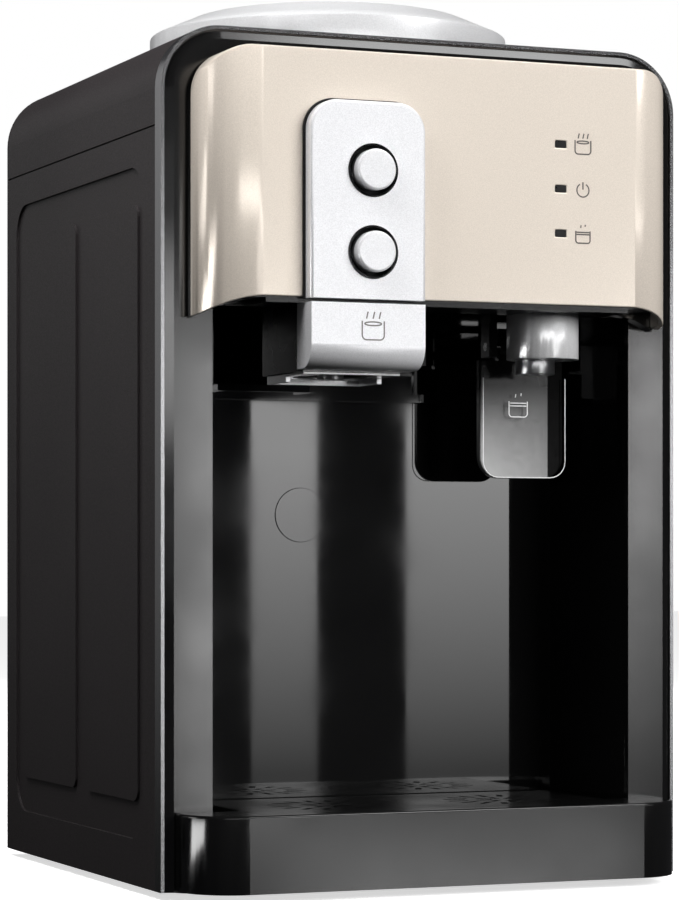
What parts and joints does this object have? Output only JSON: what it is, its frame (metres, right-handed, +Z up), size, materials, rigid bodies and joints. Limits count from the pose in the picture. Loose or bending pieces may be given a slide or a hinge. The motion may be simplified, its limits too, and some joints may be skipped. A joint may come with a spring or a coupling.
{
  "type": "countertop water dispenser",
  "caption": "Tabletop bottled-water dispenser with a push-button hot tap, a push-paddle cold tap, a sliding drip tray and a bottle collar on top.",
  "frame": {"origin": "on the surface the feet stand on, below the middle of the object's bounding box", "axes": "+X to the user's right when facing the taps, +Y away from the user, +Z up"},
  "size_m": [0.2526, 0.288, 0.407],
  "materials": {
    "black_gloss": "polished black moulding",
    "satin_silver": "satin silver lacquer",
    "charcoal_plastic": "fine spark-eroded charcoal texture",
    "rear_charcoal": "fine charcoal texture",
    "base_plastic": "plain black moulding",
    "liner_gloss": "polished black moulding",
    "foot_rubber": "soft black rubber",
    "champagne_paint": "metallic champagne lacquer",
    "backing_black": "black moulding",
    "silver_paint": "bright silver lacquer",
    "gasket_black": "black",
    "button_silver": "silver lacquered cap",
    "spring_steel": "bright steel",
    "bezel_chrome": "chrome plate",
    "inner_plastic": "natural food-grade plastic",
    "window_plastic": "dark window",
    "board_green": "green circuit board",
    "outlet_chrome": "chrome plate",
    "nozzle_steel": "bright steel",
    "tap_silver": "bright silver lacquer",
    "paddle_smoke": "smoked gloss plastic",
    "tray_gloss": "polished black moulding",
    "grille_black": "black moulding",
    "collar_silver": "silver grey lacquer",
    "probe_plastic": "white food-grade plastic",
    "tank_steel": "stainless sheet",
    "insulation_foam": "pale foam wrap",
    "hose_silicone": "milky silicone"
  },
  "bodies": {
    "casing": {"alcove_liner": "liner_gloss", "band_heater": "tank_steel", "base_pan": "base_plastic", "button_bezels": "bezel_chrome", "button_carrier": "inner_plastic", "cold_hose": "hose_silicone", "cold_nozzle": "nozzle_steel", "cold_tap_cover": "tap_silver", "cold_valve_body": "inner_plastic", "control_strip": "silver_paint", "cord_gland": "foot_rubber", "drain_hose": "hose_silicone", "drain_spout": "nozzle_steel", "fascia_backing": "backing_black", "feet": "foot_rubber", "front_frame": "black_gloss", "hot_button_spring": "spring_steel", "hot_hose": "hose_silicone", "hot_nozzle": "nozzle_steel", "hot_outlet_ring": "outlet_chrome", "hot_tank": "tank_steel", "hot_tap_body": "backing_black", "hot_tap_housing": "silver_paint", "hot_valve_body": "inner_plastic", "indicator_board": "board_green", "indicator_windows": "window_plastic", "paddle_bracket": "backing_black", "paddle_pin": "spring_steel", "power_button_spring": "spring_steel", "power_switch": "inner_plastic", "rear_panel": "rear_charcoal", "rear_screws": "spring_steel", "reservoir": "inner_plastic", "reservoir_seal": "foot_rubber", "reservoir_shelf": "inner_plastic", "side_panel_left": "charcoal_plastic", "side_panel_right": "charcoal_plastic", "silver_trim": "satin_silver", "strip_gasket": "gasket_black", "tank_bracket": "tank_steel", "tank_inlet_hose": "hose_silicone", "tank_insulation": "insulation_foam", "thermostats": "spring_steel", "top_cover": "charcoal_plastic", "upper_fascia": "champagne_paint", "vent_hose": "hose_silicone"},
    "power_button": {"power_button": "button_silver"},
    "hot_button": {"hot_button": "button_silver", "hot_valve_stem": "spring_steel"},
    "paddle": {"cold_paddle": "paddle_smoke"},
    "cold_stem": {"cold_valve_stem": "spring_steel"},
    "tray": {"drip_tray": "tray_gloss"},
    "grille": {"drip_grille": "grille_black"},
    "bottle_seat": {"bottle_collar": "collar_silver", "bottle_probe": "probe_plastic"},
    "drain_cap": {"drain_cap": "rear_charcoal"}
  },
  "joints": [
    {"name": "power_button_press", "type": "slide", "parent": "casing", "child": "power_button", "axis": [0, 1, 0], "range_m": [0, 0.0035], "stiffness_N_per_m": 600, "springref_m": -0.001, "deforming": ["power_button_spring"]},
    {"name": "hot_button_press", "type": "slide", "parent": "casing", "child": "hot_button", "axis": [0, 1, 0], "range_m": [0, 0.004], "stiffness_N_per_m": 600, "springref_m": -0.001, "deforming": ["hot_button_spring"]},
    {"name": "paddle_push", "type": "hinge", "parent": "casing", "child": "paddle", "pos_m": [0.0605, -0.07475, 0.247], "axis": [1, 0, 0], "range_deg": [0, 12], "stiffness_Nm_per_rad": 0.25, "springref_deg": -5.73},
    {"name": "cold_stem_slide", "type": "slide", "parent": "casing", "child": "cold_stem", "axis": [0, -1, 0], "range_m": [0, 0.0018]},
    {"name": "tray_slide", "type": "slide", "parent": "casing", "child": "tray", "axis": [0, -1, 0], "range_m": [0, 0.08]},
    {"name": "grille_lift", "type": "slide", "parent": "tray", "child": "grille", "axis": [0, 0, 1], "range_m": [0, 0.03]},
    {"name": "bottle_seat_lift", "type": "slide", "parent": "casing", "child": "bottle_seat", "axis": [0, 0, 1], "range_m": [0, 0.09]},
    {"name": "drain_cap_off", "type": "slide", "parent": "casing", "child": "drain_cap", "axis": [0, 1, 0], "range_m": [0, 0.012]}
  ],
  "couplings": [
    {"joint": "cold_stem_slide", "follows": "paddle_push", "m_per_rad": 0.008}
  ]
}
